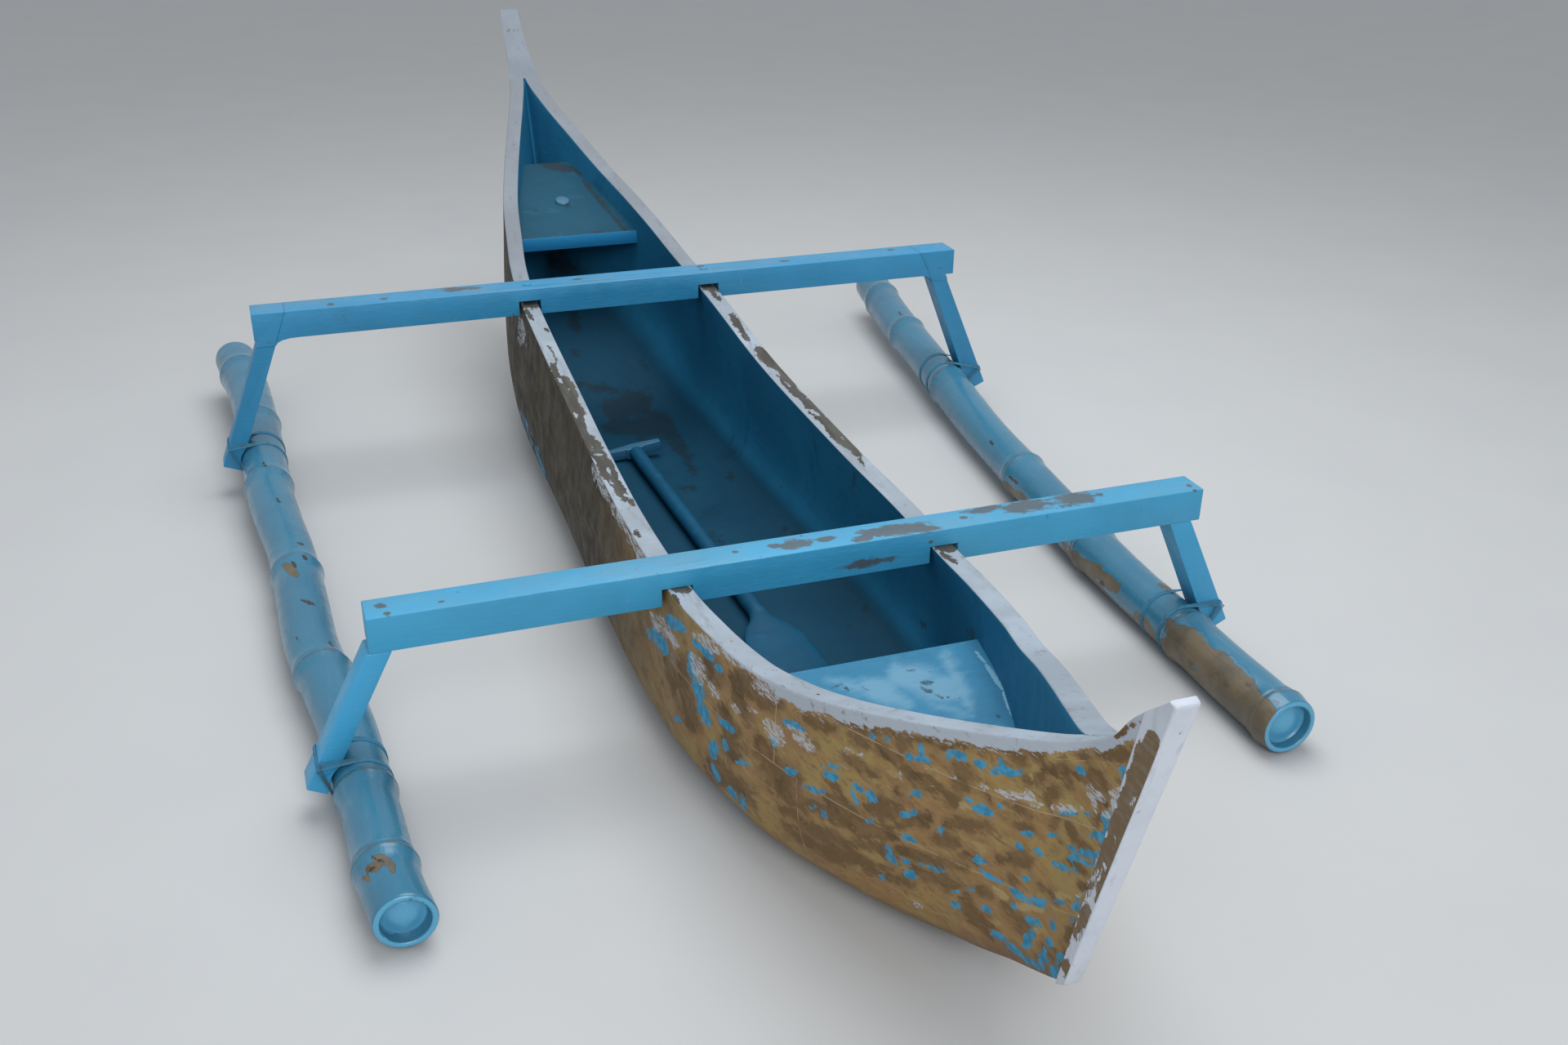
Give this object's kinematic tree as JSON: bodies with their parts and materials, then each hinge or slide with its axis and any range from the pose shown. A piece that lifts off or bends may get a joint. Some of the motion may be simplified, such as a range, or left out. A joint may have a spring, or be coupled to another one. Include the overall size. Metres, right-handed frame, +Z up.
{
  "type": "outrigger canoe",
  "caption": "Small open planked canoe with a raked stem and a tall stern post, with bamboo outrigger floats on cross booms.",
  "frame": {"origin": "on the ground under the flat run of the keel, on the boat's centre plane", "axes": "+Z up, -Y toward the bow, +X to port"},
  "size_m": [1.9195, 3.483, 0.862],
  "materials": {
    "hull_wood": "scraped plank wood with blue and white paint remains",
    "white_paint": "worn white paint on wood",
    "sky_blue_paint": "sky blue paint on wood, worn",
    "deep_blue_paint": "blue paint on wood, dirty",
    "bamboo_paint": "glossy blue paint on bamboo, worn",
    "cord": "painted cord"
  },
  "bodies": {
    "root": {"hull_log": "hull_wood", "bow_log": "hull_wood", "stern_log": "hull_wood", "lower_strake_port": "hull_wood", "lower_strake_starboard": "hull_wood", "bow_lower_strake_port": "hull_wood", "bow_lower_strake_starboard": "hull_wood", "stern_lower_strake_port": "hull_wood", "stern_lower_strake_starboard": "hull_wood", "upper_strake_port": "hull_wood", "upper_strake_starboard": "hull_wood", "bow_upper_strake_port": "hull_wood", "bow_upper_strake_starboard": "hull_wood", "stern_upper_strake_port": "hull_wood", "stern_upper_strake_starboard": "hull_wood", "bow_cheek_port": "hull_wood", "bow_cheek_starboard": "hull_wood", "stem_post": "white_paint", "stern_post": "white_paint", "bow_bench": "deep_blue_paint", "stern_seat": "deep_blue_paint", "seat_plug": "deep_blue_paint", "front_boom": "sky_blue_paint", "rear_boom": "sky_blue_paint", "rear_knee_port": "sky_blue_paint", "rear_knee_starboard": "sky_blue_paint", "rear_peg_port": "sky_blue_paint", "rear_peg_starboard": "sky_blue_paint", "front_strut_port": "sky_blue_paint", "front_strut_starboard": "sky_blue_paint", "float_port": "bamboo_paint", "float_starboard": "bamboo_paint", "front_lashing_port": "cord", "front_lashing_starboard": "cord", "rear_lashing_port": "cord", "rear_lashing_starboard": "cord", "paddle": "deep_blue_paint", "paddle_grip": "deep_blue_paint"}
  },
  "joints": []
}
